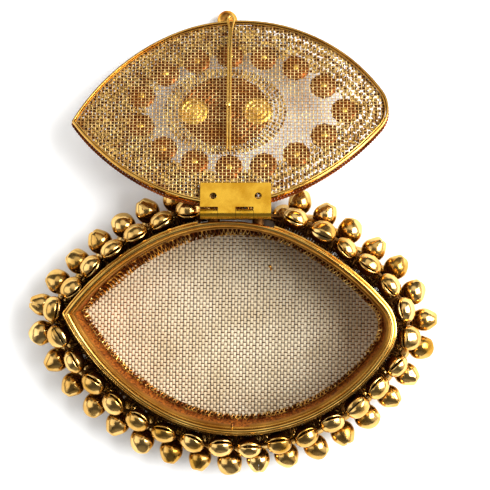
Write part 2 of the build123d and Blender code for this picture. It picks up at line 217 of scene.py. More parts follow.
def swept(build, profile, keep=None, wave=None):
    """Sweeps a closed profile of (inset, z) round the outline, where keep(x, y) is true."""
    rings = []
    for inset, z in profile:
        flat = outline(inset)
        height = np.full(len(flat), float(z))
        if wave is not None:
            flat, height = wave(flat, height)
        rings.append(np.column_stack([flat, height]))
    middle = sum(rings) / len(rings)
    mask = np.ones(len(middle), dtype=bool)
    if keep is not None:
        mask = np.array([keep(x, y) for x, y, _ in middle])
    stretches, whole = runs(mask)
    for stretch in stretches:
        rows = [ring[stretch] for ring in rings]
        build.grid(rows, close_rows=True, close_columns=whole)
        if not whole:
            width, height = len(stretch), len(profile)
            start = build.count - width * height
            build.cap(start, height, step=width)
            build.cap(start + width - 1, height, step=width, flip=True)


def frames_along(path, closed):
    """Side vectors along a path, turned as little as possible from one point to the next."""
    if closed:
        ahead = np.roll(path, -1, axis=0) - np.roll(path, 1, axis=0)
    else:
        ahead = np.gradient(path, axis=0)
    ahead /= np.linalg.norm(ahead, axis=1, keepdims=True)
    side = np.cross(ahead[0], UP)
    if np.linalg.norm(side) < 0.1:
        side = np.cross(ahead[0], [0.0, 1.0, 0.0])
    sides = []
    for direction in ahead:
        side = side - direction * np.dot(side, direction)
        side = side / np.linalg.norm(side)
        sides.append(side)
    sides = np.array(sides)
    return sides, np.cross(ahead, sides)


def tube(build, path, radius, sides, closed=False, flat=1.0):
    """A round wire along a path. radius is one number or one for each point."""
    path = np.asarray(path, dtype=float)
    across, up = frames_along(path, closed)
    radius = np.broadcast_to(radius, (len(path),))[:, None]
    rows = []
    for k in range(sides):
        angle = 2 * pi * k / sides
        rows.append(path + radius * (across * cos(angle) + up * sin(angle) * flat))
    build.grid(rows, close_rows=True, close_columns=closed)
    if not closed:
        start, width = build.count - sides * len(path), len(path)
        build.cap(start, sides, step=width)
        build.cap(start + width - 1, sides, step=width, flip=True)


def tubes(build, path, mask, radius, sides):
    """Wires along the kept stretches of a closed path."""
    for stretch in runs(mask)[0]:
        if len(stretch) > 2:
            tube(build, path[stretch], radius, sides)


def smooth_path(points, per):
    """A Catmull-Rom line through the points."""
    points = np.asarray(points, dtype=float)
    padded = np.vstack([2 * points[0] - points[1], points, 2 * points[-1] - points[-2]])
    out = []
    for i in range(1, len(padded) - 2):
        a, b, c, d = padded[i - 1 : i + 3]
        square, cube = 2 * a - 5 * b + 4 * c - d, 3 * b - a - 3 * c + d
        for k in range(per):
            t = k / per
            out.append(0.5 * (2 * b + (c - a) * t + square * t * t + cube * t**3))
    out.append(points[-1])
    return np.array(out)


def lathe(build, profile, centre, segments, lobes=0, depth=0.0, squash=1.0):
    """Turns (radius, z) about the Z axis through centre. Lobes scallop it more the further out it is."""
    rows = []
    angle = np.linspace(0, 2 * pi, segments, endpoint=False)
    largest = max(r for r, _ in profile)
    for r, z in profile:
        reach = r * (1 + depth * np.cos(lobes * angle) * (r / largest) ** 2)
        x = centre[0] + reach * np.cos(angle)
        y = centre[1] + reach * np.sin(angle) * squash
        rows.append(np.column_stack([x, y, np.full(segments, centre[2] + z)]))
    build.grid(rows, close_columns=True)
    build.cap(build.count - segments * len(profile), segments)
    build.cap(build.count - segments, segments, flip=True)


def bead(build, centre, radius, sides=8):
    """A small solder-backed bead: round in front, its back a little flattened."""
    rows = []
    lifts = np.radians([-50, -27.5, 0, 32, 60, 84])
    for r, lift in enumerate(lifts):
        angle = 2 * pi * (np.arange(sides) + 0.5 * (r % 2)) / sides
        reach = radius * cos(lift)
        ring = [reach * np.cos(angle), reach * np.sin(angle), np.full(sides, radius * sin(lift))]
        rows.append(np.array(centre) + np.column_stack(ring))
    build.grid(rows, close_columns=True)
    build.cap(build.count - sides, sides)
    build.cap(build.count - sides * len(lifts), sides, flip=True)


# Materials

# How much rougher brass is in its dull patches than in its bright ones, and how deep its bumps are.
ROUGH_SPREAD = 0.15
BUMP_DEPTH = 0.3


def new_material(name):
    """A material, its node tree and its shader."""
    material = bpy.data.materials.new(name)
    material.use_nodes = True
    return material, material.node_tree, material.node_tree.nodes["Principled BSDF"]


def put(node, values):
    for name, value in values.items():
        node.inputs[name].default_value = value


def add_node(tree, kind, values=None):
    """A node of a kind, with values on its inputs."""
    node = tree.nodes.new("ShaderNode" + kind)
    put(node, values or {})
    return node


def map_range(tree, value, low, high, to_low=0.0, to_high=1.0, smooth=False):
    """The output of a Map Range node on a value."""
    ends = {"From Min": low, "From Max": high, "To Min": to_low, "To Max": to_high}
    node = add_node(tree, "MapRange", ends)
    if smooth:
        node.interpolation_type = "SMOOTHSTEP"
    tree.links.new(value, node.inputs["Value"])
    return node.outputs["Result"]


def noise(tree, vector, scale, detail, roughness=0.5):
    """The output of a noise texture."""
    values = {"Scale": scale, "Detail": detail, "Roughness": roughness}
    node = add_node(tree, "TexNoise", values)
    tree.links.new(vector, node.inputs["Vector"])
    return node.outputs["Fac"]


def colour_mix(tree, share, dark, colour):
    """The output of a mix: the dark colour where the share is 0, and the other where it is 1."""
    node = add_node(tree, "Mix")
    node.data_type = "RGBA"
    node.inputs[6].default_value = (*dark, 1)
    tree.links.new(share, node.inputs[0])
    tree.links.new(colour, node.inputs[7])
    return node.outputs[2]


def brass(
    name, bright, dull, rough=0.25, spots=(0.35, 0.65), spot_scale=60.0, bump=0.2, bump_scale=400.0,
    stretch=(1.0, 1.0, 1.0), metal=1.0, edge=(1.0, 0.85, 0.6), crevice=0.0,
    crevice_shade=(0.045, 0.016, 0.004), foot=0.0, foot_shade=(0.09, 0.018, 0.004),
):
    """Worn brass: bright metal with duller patches, uneven gloss, a fine uneven surface, and painted
    shade, a dark colour where other surfaces are closer than the crevice distance in millimetres. Below
    the foot height in millimetres the colour is painted darker, painted shade towards the bottom."""
    material, tree, shader = new_material(name)
    put(shader, {"Metallic": metal, "Specular Tint": (*edge, 1)})
    place = add_node(tree, "TexCoord")
    mapping = add_node(tree, "Mapping", {"Scale": stretch})
    tree.links.new(place.outputs["Object"], mapping.inputs["Vector"])

    patches = noise(tree, mapping.outputs["Vector"], spot_scale, 6.0, 0.6)
    ramp = add_node(tree, "ValToRGB")
    for stop, position, shade in zip(ramp.color_ramp.elements, spots, (dull, bright)):
        stop.position = position
        stop.color = (*shade, 1)
    tree.links.new(patches, ramp.inputs["Fac"])
    colour = ramp.outputs["Color"]
    # Painted shade: the colour darkens towards the bottom, below the foot height.
    if foot:
        height = add_node(tree, "SeparateXYZ")
        tree.links.new(place.outputs["Object"], height.inputs["Vector"])
        unshaded = map_range(tree, height.outputs["Z"], 0.0, foot * MM, smooth=True)
        colour = colour_mix(tree, unshaded, foot_shade, colour)
    # Painted shade: ambient occlusion mixes in the dark crevice colour where other surfaces come near.
    if crevice:
        near = add_node(tree, "AmbientOcclusion", {"Distance": crevice * MM})
        near.samples = 5
        colour = colour_mix(tree, map_range(tree, near.outputs["AO"], 0.2, 0.8), crevice_shade, colour)
    tree.links.new(colour, shader.inputs["Base Color"])

    gloss = map_range(tree, patches, 0.3, 0.7, rough + ROUGH_SPREAD, rough)
    tree.links.new(gloss, shader.inputs["Roughness"])
    relief = add_node(tree, "Bump", {"Strength": bump, "Distance": BUMP_DEPTH * MM})
    tree.links.new(noise(tree, mapping.outputs["Vector"], bump_scale, 4.0), relief.inputs["Height"])
    tree.links.new(relief.outputs["Normal"], shader.inputs["Normal"])
    return material


# Every crevice distance below paints shade: a dark colour mixed in where other surfaces come near, as
# between the bells and about the hinge, clasp, ornament and lacing.
BELL = brass(
    "bell_brass", (0.86, 0.58, 0.22), (0.46, 0.23, 0.03), rough=0.11, bump_scale=500, crevice=5.5,
    crevice_shade=(0.05, 0.016, 0.004),
)
RIM = brass("rim_brass", (0.90, 0.56, 0.14), (0.50, 0.23, 0.035), rough=0.1, bump=0.1, bump_scale=300)
LIP = brass("lip_brass", (0.60, 0.30, 0.06), (0.26, 0.09, 0.012), rough=0.3, bump_scale=350)
# The wall is painted darker below 16 mm, painted shade at the bottom of the box.
WALL = brass(
    "wall_brass", (0.66, 0.29, 0.035), (0.12, 0.034, 0.006), rough=0.3, spots=(0.42, 0.56),
    spot_scale=1000, bump=0.7, bump_scale=900, stretch=(1.0, 1.0, 0.2), metal=0.75,
    edge=(1.0, 0.4, 0.08), foot=16.0,
)
# The floor's wires are lit and shaded copies of one brass: the warp pale cream as a painted reflection
# of the bright room, the weft dark brown as painted shade.
LIT_FLOOR_WARP = brass(
    "floor_warp_lit_brass", (0.81, 0.71, 0.52), (0.66, 0.54, 0.35), rough=0.65, spot_scale=45,
    metal=0.25, bump=0.1,
)
SHADED_FLOOR_WEFT = brass(
    "floor_weft_shaded_brass", (0.26, 0.15, 0.07), (0.14, 0.07, 0.025), rough=0.3, spot_scale=45, bump=0.1,
)
HEM_WIRE = brass(
    "hem_wire_brass", (0.94, 0.64, 0.20), (0.20, 0.06, 0.012), spot_scale=260, spots=(0.42, 0.56),
)
LID_WARP = brass(
    "lid_warp_brass", (0.84, 0.60, 0.24), (0.42, 0.21, 0.045), rough=0.36, spot_scale=160,
    metal=0.65, bump=0.1,
)
LID_WEFT = brass(
    "lid_weft_brass", (0.86, 0.62, 0.26), (0.40, 0.20, 0.045), rough=0.36, spot_scale=160,
    metal=0.5, bump=0.1,
)
HINGE = brass(
    "hinge_brass", (0.86, 0.50, 0.05), (0.64, 0.32, 0.02), rough=0.17, spot_scale=120,
    spots=(0.38, 0.60), bump=1.0, bump_scale=130, crevice=1.2,
)
CLASP = brass(
    "clasp_brass", (0.94, 0.62, 0.17), (0.64, 0.35, 0.06), rough=0.2, spot_scale=110, crevice=0.4,
)
ORNAMENT = brass(
    "ornament_brass", (0.90, 0.50, 0.10), (0.22, 0.07, 0.01), rough=0.2, spot_scale=180, bump=0.3,
    metal=0.85, edge=(1.0, 0.6, 0.2), crevice=1.2,
)
# Dark brown ornament brass, painted shade: the backs of the rope, bead strings, discs and medallion lie
# in shade under the mesh.
SHADED_ORNAMENT = brass(
    "shaded_ornament_brass", (0.22, 0.05, 0.008), (0.08, 0.014, 0.003), rough=0.28, spot_scale=130, bump=0.3,
    metal=0.6, edge=(0.8, 0.4, 0.12),
)
# Beads: near-black patches among brass-coloured ones, painted shade over the lid's ornament; the crevice
# colour is painted shade too.
SHADED_BEADING = brass(
    "shaded_beading_brass", (0.84, 0.56, 0.14), (0.10, 0.018, 0.004), rough=0.3, spots=(0.44, 0.56),
    spot_scale=300, bump=0.3, metal=0.55, crevice=1.0, crevice_shade=(0.10, 0.02, 0.005),
)
BOSS = brass("boss_brass", (0.90, 0.60, 0.11), (0.50, 0.23, 0.03), rough=0.3, spot_scale=200, bump=0.4)
# Near-black brass, painted shade: a strip on the wall's outer face behind the bells, and the hem's fold.
SHADE_BRASS = brass("painted_shade_brass", (0.085, 0.022, 0.005), (0.03, 0.008, 0.002), rough=0.45, spot_scale=260)
# Dark lacing brass, painted shade: the lacing, loops, posts, stitches and spacers sit in shade behind
# the bells and hinge.
SHADED_LACING = brass(
    "shaded_lacing_brass", (0.26, 0.12, 0.03), (0.08, 0.03, 0.008), rough=0.5, spot_scale=200, crevice=6.0,
)
STEEL = brass("pellet_steel", (0.48, 0.46, 0.43), (0.22, 0.20, 0.18), rough=0.4, spot_scale=300)


def paint(name, material):
    """Gives a CAD node that stays in view its material."""
    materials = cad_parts[name].data.materials
    materials.clear()
    materials.append(material)


# Box

# Sections are (inset from the rim's edge, height above the level that they are raised to).
RIM_SECTION = [
    (0.15, -2.4), (0.0, -1.3), (0.1, -0.65), (0.42, -0.2), (0.9, 0.0), (1.35, -0.08), (1.75, -0.4),
    (2.1, -0.95), (2.4, -1.7), (2.6, -2.6), (1.7, -2.4), (0.8, -2.4),
]
LIP_SECTION = [
    (2.7, -6.8), (2.7, -3.2), (2.8, -2.9), (2.95, -2.95), (3.1, -3.3), (3.15, -7.0), (1.7, -7.0),
    (1.7, -6.4),
]
SIDE_WIRE_RADIUS = 0.5
TONGUE_X = 0.8
TONGUE_RADIUS = 0.5

# The unevenness fades out over this turn at the tip, and is a little less sideways than upwards.
TIP_FADE = 0.15
SIDE_SHARE = 0.8415


def raised(section, level):
    return [(inset, level + height) for inset, height in section]


def strip_section(outside, inside, heights):
    """A closed section of an upright strip between two insets."""
    return [(outside, z) for z in heights] + [(inside, z) for z in reversed(heights)]


def hand_made(amount, seed):
    """A gentle unevenness along the outline, in and out and up and down."""
    phase = random.Random(seed).uniform(0, 6.28)

    def ripples(turn, counts):
        return sum(np.sin(n * turn + phase) / n**0.5 for n in counts)

    def wave(flat, height):
        turn = np.linspace(0, 2 * pi, len(flat), endpoint=False)
        side = np.column_stack([-tangents(flat)[:, 1], tangents(flat)[:, 0]])
        fade = amount * np.minimum(1, np.minimum(turn, 2 * pi - turn) / TIP_FADE)
        push = SIDE_SHARE * fade * ripples(turn, (5, 9, 14))
        return flat + side * push[:, None], height + fade * ripples(turn, (4, 11, 17))

    return wave


def off_hinge(x, y):
    return not (y > SIDE_Y and abs(x - HINGE_X) < HINGE_LENGTH / 2 + 0.6)


def off_notch(x, y):
    return not (y < -SIDE_Y and NOTCH[0] < x < NOTCH[1])


def box_wall():
    wall = Build()
    swept(wall, strip_section(0.6, 1.6, [0.0, 0.6, 6, 12, 18, 24, 30, WALL_TOP]))
    wall.make("box_wall", WALL, "base", "wall", ["base_wall"])

    # A near-black strip on the wall's outer face: painted shade behind the bells.
    shade_strip = Build()
    swept(shade_strip, strip_section(0.45, 0.58, [0.1, 12, 24, WALL_TOP - 1.4]))
    shade_strip.make("wall_outer_shade_strip", SHADE_BRASS, "base", "wall", ["base_wall"])


def rolled_rim():
    """The rim's rolled band, and the wire along its outside."""
    band = Build()
    swept(band, raised(RIM_SECTION, RIM_TOP), wave=hand_made(0.05, 3))
    band.make("rolled_rim", RIM, "base", "rim", ["base_rim"])

    wire = Build()
    turns = np.linspace(0, 2 * pi, 8, endpoint=False)
    ring = [(SIDE_WIRE_RADIUS * (cos(a) - 1), SIDE_WIRE_RADIUS * sin(a)) for a in turns]
    swept(wire, raised(ring, RIM_TOP - 1.9), keep=off_hinge, wave=hand_made(0.06, 8))
    wire.make("rim_side_wire", RIM, "base", "rim", ["rim_wire"])


def inner_lip():
    """The strip inside the rim, and the tongue at the left end of its notch."""
    lip = Build()
    swept(lip, raised(LIP_SECTION, RIM_TOP), keep=off_notch, wave=hand_made(0.05, 5))
    lip.make("inner_lip_strip", LIP, "base", "rim", ["inner_lip"])

    tongue = Build()
    route = [(-42.6, -1.0), (-41.9, -0.5), (-41.2, -0.4), (-40.4, -0.7)]
    path = smooth_path([(TONGUE_X, y, RIM_TOP + z) for y, z in route], 4)
    tube(tongue, path, [TONGUE_RADIUS] * (len(path) - 3) + [0.45, 0.38, 0.25], sides=10, flat=0.7)
    tongue.make("notch_tongue", HEM_WIRE, "base", "rim", ["catch_tongue"])


# Woven mesh

# A weave's pitch is (along X, along Y). Its lines are turned by the tilt, in degrees.
FLOOR_WEAVE = {
    "inset": 2.4, "level": FLOOR_LEVEL, "pitch": (1.45, 1.42), "tilt": -1.2, "seed": 11, "sides": 6,
    "sagging": True,
}
LID_WEAVE = {
    "inset": 2.5, "level": LID_MESH_LEVEL, "pitch": (1.64, 1.41), "tilt": 0.3, "seed": 31,
    "sides": 5, "sagging": False,
}
CRIMP_LIMIT = 0.3


def sag(flat):
    """How far the floor's mesh stands above its level: it lies in soft waves."""
    x, y = flat[:, 0], flat[:, 1]
    broad = 0.22 * np.sin(x / 13.0 + 0.6) * np.sin(y / 11.0 - 0.4)
    return 0.28 + broad + 0.1 * np.sin(x / 6.0 + y / 8.0)


def wire_ends(local, main, other, line):
    """Where a line along the main axis enters and leaves a closed outline."""
    nexts = np.roll(local, -1, axis=0)
    hit = (local[:, other] - line) * (nexts[:, other] - line) <= 0
    start, end = local[hit], nexts[hit]
    rise = end[:, other] - start[:, other]
    share = (line - start[:, other]) / np.where(abs(rise) < 1e-9, 1e-9, rise)
    where = start[:, main] + (end[:, main] - start[:, main]) * share
    return (where.min(), where.max()) if len(where) > 1 else (0.0, 0.0)


def crossing_wires(weave, along_x, radius, wide=1.0):
    """One set of parallel wires of a plain weave, cut off where they meet the outline."""
    build = Build()
    rng = random.Random(weave["seed"])
    turn = radians(weave["tilt"])
    rotate = np.array([[cos(turn), -sin(turn)], [sin(turn), cos(turn)]])
    local = outline(weave["inset"]) @ rotate
    main, other = (0, 1) if along_x else (1, 0)
    half, spacing = weave["pitch"][main] / 2, weave["pitch"][other]
    first = ceil(local[:, other].min() / spacing)
    last = floor(local[:, other].max() / spacing)
    crimp = min(radius, CRIMP_LIMIT) * 1.05
    cross = np.cross(np.append(rotate[:, main], 0.0), UP)
    for row in range(first, last + 1):
        line = row * spacing
        start, end = wire_ends(local, main, other, line)
        ticks = np.arange(ceil(start / half), floor(end / half) + 1)
        if end - start < 2 * half or len(ticks) < 2:
            continue
        positions = ticks * half
        over = np.where(ticks % 2 == 0, np.where((ticks // 2 + row) % 2 == 0, 1.0, -1.0), 0.0)
        if not along_x:
            over = -over
        drift = rng.uniform(-0.05, 0.05) * spacing
        sway = np.sin(positions / 17.0 + rng.uniform(-0.25, 0.25) + row * 0.01) * 0.07 * spacing
        flat = np.zeros((len(ticks), 2))
        flat[:, main] = positions
        flat[:, other] = line + drift + sway
        flat = flat @ rotate.T
        height = weave["level"] + over * crimp
        if weave["sagging"]:
            height = height + sag(flat)
        path = np.column_stack([flat, height])
        rows = []
        for angle in 2 * pi * (np.arange(weave["sides"]) + 0.5) / weave["sides"]:
            rows.append(path + radius * (wide * cos(angle) * cross + sin(angle) * UP))
        build.grid(rows, close_rows=True)
    return build


def floor_mesh():
    """Thin wires from left to right, painted dark as painted shade, and broad flattened ones across
    them, painted pale cream as a painted reflection.
    """
    weft = crossing_wires(FLOOR_WEAVE, True, 0.25)
    weft.make("floor_weft", SHADED_FLOOR_WEFT, "base", "mesh", ["floor_mesh"])
    warp = crossing_wires(FLOOR_WEAVE, False, 0.36, wide=1.75)
    warp.make("floor_warp", LIT_FLOOR_WARP, "base", "mesh", ["floor_mesh"])


# The floor's hem. Its stations are HEM_STEP apart along the wall.
HEM_STEP = 0.52
HEM_INSET = 1.7
HEM_REACH = 5.0
HEM_SECTION = [(0.0, 1.25), (0.12, 1.45), (0.55, 1.75), (1.0, 2.6), (1.0, 0.5), (0.0, 0.5)]


def hem_width(x, y):
    """How far the hem reaches in from the wall: widest along the left of the hinge side."""
    high = min(1.0, max(0.0, (y - 4) / 16))
    left = min(1.0, max(0.0, (22 - x) / 40))
    return 1.8 + 0.7 * high + 1.4 * high * left


def hem_places():
    """How many stations the hem has, and a function for its points. At share 0 they are on the
    hem's edge on the floor, and at share 1 they are by the wall."""
    foot, deep = outline(HEM_INSET, HEM_STEP), outline(HEM_INSET + HEM_REACH, HEM_STEP)

    def place(station, share, height):
        start = foot[station % len(foot)]
        inwards = deep[station % len(foot)] - start
        return (*(start + inwards * hem_width(*start) / HEM_REACH * (1 - share)), height)

    return len(foot), place


def hem_seam():
    """The fold under the hem, painted near-black as painted shade at the wall's foot."""
    count, place = hem_places()
    seam = Build()
    rows = [[place(i, share, height) for i in range(count)] for share, height in HEM_SECTION]
    seam.grid(rows, close_rows=True, close_columns=True)
    seam.make("floor_edge_seam", SHADE_BRASS, "base", "mesh", ["floor_hoop"])


def hem_lattice():
    """The floor mesh's edge, turned up along the wall as an open lattice, its cut ends standing up."""
    rng = random.Random(4)
    count, place = hem_places()
    build = Build()
    for i in range(0, count, 4):
        for lean in (-1, 1):
            reach = rng.uniform(1.6, 4.6) if rng.random() < 0.6 else 0.4
            top = i + lean * 3
            points = [
                place(i, -0.12, 1.25), place(i + lean, 0.3, 1.85 + 0.12 * lean),
                place(i + 2 * lean, 0.7, 2.15 - 0.12 * lean), place(top, 0.96, 2.9),
                place(top + rng.choice((-1, 0, 1)), 1.0, 2.9 + reach),
            ]
            tube(build, smooth_path(points, 2), 0.21, sides=5)
    for share, height in ((0.0, 1.5), (0.88, 2.75)):
        path = [place(i, share, height + rng.uniform(-0.15, 0.15)) for i in range(0, count, 2)]
        tube(build, path, 0.18, sides=4, closed=True)
    build.make("floor_mesh_hem", HEM_WIRE, "base", "mesh", ["floor_hoop"])


def solder_drops():
    """Two drops of solder on the floor, on the right of the hinge side."""
    drops = Build()
    bead(drops, (17.2, 25.9, 1.15), 0.95)
    bead(drops, (17.7, 24.7, 1.1), 0.75)
    drops.make("solder_drops", ORNAMENT, "base", "mesh", ["floor_mesh"])


# Lid, drawn shut

LID_SECTION = [
    (1.28, 0.1), (1.2, 0.4), (1.2, 2.9), (1.4, 3.0), (2.0, 3.0), (2.18, 2.8), (2.18, 0.4),
    (2.1, 0.1), (1.9, 0.0), (1.5, 0.0),
]
LID_INNER_SECTION = [(2.45, 0.55), (2.4, 1.1), (2.95, 1.1), (2.95, 0.7), (2.8, 0.5), (2.55, 0.5)]

# The rope's two strands wind round a line that is nearer the lid's edge on the hinge side.
ROPE_INSETS = (0.85, 1.4)
ROPE_LEVEL = LID_TOP + 1.75
ROPE_STEP = 0.36
ROPE_RADIUS = 0.36
ROPE_TWIST = 2.9
ROPE_WINDING = 0.34
ROPE_GAP = (-8, 9)


def lid_frame():
    outer = Build()
    swept(outer, raised(LID_SECTION, LID_BOTTOM), wave=hand_made(0.06, 21))
    outer.make("lid_frame_strip", RIM, "lid", "rim", ["lid_frame"])

    inner = Build()
    swept(inner, raised(LID_INNER_SECTION, LID_BOTTOM), wave=hand_made(0.08, 23))
    inner.make("lid_frame_inner_strip", RIM, "lid", "rim", ["lid_inner_strip"])


def lid_mesh():
    weft = crossing_wires(LID_WEAVE, True, 0.15)
    weft.make("lid_weft", LID_WEFT, "lid", "mesh", ["lid_mesh"])
    warp = crossing_wires(LID_WEAVE, False, 0.165)
    warp.make("lid_warp", LID_WARP, "lid", "mesh", ["lid_mesh"])


def rope():
    build = Build()
    outside, inside = (outline(inset, ROPE_STEP) for inset in ROPE_INSETS)
    share = np.clip((outside[:, 1] + 5) / 20, 0, 1)[:, None]
    centre = inside + (outside - inside) * share
    side = tangents(centre)
    out = np.column_stack([-side[:, 1], side[:, 0]])
    length = np.cumsum(np.linalg.norm(np.roll(centre, -1, axis=0) - centre, axis=1))
    twists = round(length[-1] / ROPE_TWIST)
    low, high = ROPE_GAP
    mask = np.array([not (y < -SIDE_Y and low < x < high) for x, y in centre])
    for strand in (0, 1):
        angle = 2 * pi * twists * length / length[-1] + pi * strand
        flat = centre + out * (ROPE_WINDING * np.cos(angle))[:, None]
        path = np.column_stack([flat, ROPE_LEVEL + ROPE_WINDING * np.sin(angle)])
        tubes(build, path, mask, ROPE_RADIUS, sides=6)
    # The rope is painted dark brown, painted shade under the open lid.
    build.make("rope_border", SHADED_ORNAMENT, "lid", "ornament", ["rope_trim"])


# Discs

DISC_COUNT = 15
DISC_SECTION = [
    (2.4, 0.02), (3.0, 0.1), (3.7, 0.0), (4.5, 0.14), (5.2, 0.45), (5.8, 0.85), (6.0, 1.15),
    (5.8, 1.3), (5.2, 1.0), (4.4, 0.75), (3.4, 0.65), (2.5, 0.9),
]
STUD_SECTION = [
    (0.2, -0.3), (0.8, -0.24), (1.3, -0.05), (1.55, 0.25), (2.3, 0.4), (2.5, 0.6), (2.48, 0.9),
    (2.3, 1.25), (1.7, 1.55), (0.9, 1.7), (0.2, 1.72),
]
DISC_LEVEL = LID_TOP + 0.1
DISC_RING_MIDDLE = (4.3, -0.3)
DISC_RING_REACH = 45.5
DISC_RING_RISE = 27.0


def even_places(line, at):
    """The points of an open line at shares of its length."""
    steps = np.linalg.norm(np.diff(line, axis=0), axis=1)
    length = np.concatenate([[0], np.cumsum(steps)])
    at = at * length[-1]
    return np.column_stack([np.interp(at, length, line[:, 0]), np.interp(at, length, line[:, 1])])


def disc_places():
    """Even places round a ring that is elliptic on the left and pointed on the right."""
    reach, rise = DISC_RING_REACH, DISC_RING_RISE
    radius = (reach * reach + rise * rise) / (2 * rise)
    lean = np.linspace(asin(reach / radius), 0, 500, endpoint=False)
    back = np.column_stack([radius * np.sin(lean), radius * np.cos(lean) - (radius - rise)])
    turn = np.linspace(0.5 * pi, 1.5 * pi, 1000)
    left = np.column_stack([reach * np.cos(turn), rise * np.sin(turn)])
    ring = np.vstack([back, left, back[::-1] * [1, -1]]) + DISC_RING_MIDDLE
    return even_places(ring, np.arange(DISC_COUNT) / DISC_COUNT)


def discs():
    """Pressed discs, scalloped and domed towards the mesh, each on a domed stud."""
    plates, studs = Build(), Build()
    for x, y in disc_places():
        lathe(plates, DISC_SECTION, (x, y, DISC_LEVEL), 36, lobes=12, depth=0.04)
        lathe(studs, STUD_SECTION, (x, y, DISC_LEVEL), 24)
    # The disc plates are painted dark brown, painted shade behind the mesh.
    plates.make("lid_disc_plates", SHADED_ORNAMENT, "lid", "ornament", ["lid_discs"])
    studs.make("lid_disc_studs", BOSS, "lid", "ornament", ["disc_studs"])


# Beads

# Rows of beads follow the lid's edge. The first FULL_ROWS run all round it, and the rest only left
# of TIP_SIDE, where they fill the pointed end. Each row has a string under it.
BEAD_ROWS = 13
FULL_ROWS = 8
TIP_SIDE = -33.0
BEAD_ROW_PITCH = 1.75
BEAD_INSET = 3.7
BEAD_PITCH = 1.95
STRING_INSET = 2.9
STRING_LEVEL = LID_TOP + 1.05


def spaced(points, pitch, offset):
    """Even places round a closed ring of points, moved on by a share of their spacing."""
    closed = np.vstack([points, points[:1]])
    count = int(np.linalg.norm(np.diff(closed, axis=0), axis=1).sum() // pitch)
    return even_places(closed, (np.arange(count) + offset) % count / count)


def clear_places(flat, row, gap, share):
    """Which points are free of the discs by a gap and outside a share of the disc ring."""
    discs_apart = np.linalg.norm(flat[:, None] - disc_places()[None], axis=2).min(axis=1)
    size = (DISC_RING_REACH, DISC_RING_RISE)
    ring_share = np.linalg.norm((flat - DISC_RING_MIDDLE) / size, axis=1)
    in_row = (row < FULL_ROWS) | (flat[:, 0] < TIP_SIDE)
    return in_row & (discs_apart > gap) & (ring_share > share)


def border_beads():
    """Rows of beads from the edge to the discs, and in the gaps between the discs."""
    rng = random.Random(9)
    build = Build()
    for row in range(BEAD_ROWS):
        places = spaced(outline(BEAD_INSET + BEAD_ROW_PITCH * row), BEAD_PITCH, 0.5 * row)
        for x, y in places[clear_places(places, row, 5.6, 0.9)]:
            radius = rng.uniform(0.8, 0.98)
            place = (x + rng.uniform(-0.32, 0.32), y + rng.uniform(-0.32, 0.32), LID_TOP + 0.62)
            bead(build, place, radius, sides=7)
    build.make("border_bead_rows", SHADED_BEADING, "lid", "ornament", ["border_beads"])


def bead_strings():
    """The wires behind the rows of beads, and a spine where their ends meet at the tip, painted dark
    brown as painted shade between the beads.
    """
    build = Build()
    for row in range(BEAD_ROWS):
        flat = outline(STRING_INSET + BEAD_ROW_PITCH * row, 0.9)
        lift = 0.12 * np.sin(np.arange(len(flat)) * 1.9)
        ring = np.column_stack([flat, STRING_LEVEL + lift])
        right_end = 12 if row % 2 else 70
        clear = clear_places(flat, row, 5.2, 1.0) & (flat[:, 0] < right_end)
        tubes(build, ring, clear, 0.58, sides=4)
    spine = [(*tip_point(outline_arcs(2.6 + 2.0 * k)), STRING_LEVEL + 0.1) for k in range(12)]
    tube(build, spine, 1.05, sides=8)
    build.make("bead_strings", SHADED_ORNAMENT, "lid", "ornament", ["border_beads"])


# Medallion

MEDALLION_X = -2.4
MEDALLION_LEVEL = LID_TOP + 0.02
MEDALLION_SQUASH = 34 / 39
MEDALLION_FACE = [
    (19.5, 0.7), (18, 0.95), (15, 0.9), (12, 1.05), (9, 0.95), (6, 1.05), (3, 0.95), (0.4, 1.0),
]
BOSS_APART = 28.0
BOSS_SECTION = [
    (0.4, -0.32), (1.6, -0.3), (2.0, 0.0), (2.5, 0.05), (2.9, -0.25), (3.6, -0.22), (4.0, 0.05),
    (4.5, 0.08), (4.9, -0.16), (5.6, -0.1), (6.0, 0.15), (6.5, 0.3), (6.5, 0.5), (4.5, 0.6),
    (4.5, 1.2), (4.1, 1.8), (3.2, 2.2), (1.8, 2.45), (0.4, 2.5),
]
BEAD_RING_INNER = np.array([39.9, 34.9])
BEAD_RING_OUTER = np.array([49.5, 39.1])


def medallion_plate():
    """An oval plate with ripples on its back, which shows through the mesh."""
    build = Build()
    radii = [0.4 + 0.73 * k for k in range(27)]
    back = [(r, 0.25 + 0.22 * cos(2.6 * r) + 0.012 * r) for r in radii]
    centre = (MEDALLION_X, 0, MEDALLION_LEVEL)
    lathe(build, back + MEDALLION_FACE, centre, 72, 16, 0.012, squash=MEDALLION_SQUASH)
    # The plate is painted dark brown, painted shade behind the mesh.
    build.make("medallion_plate", SHADED_ORNAMENT, "lid", "ornament", ["centre_medallion"])


def medallion_bosses():
    build = Build()
    for side in (-0.5, 0.5):
        lathe(build, BOSS_SECTION, (MEDALLION_X + side * BOSS_APART, 0, MEDALLION_LEVEL), 32)
    build.make("medallion_boss_pair", BOSS, "lid", "ornament", ["medallion_bosses"])


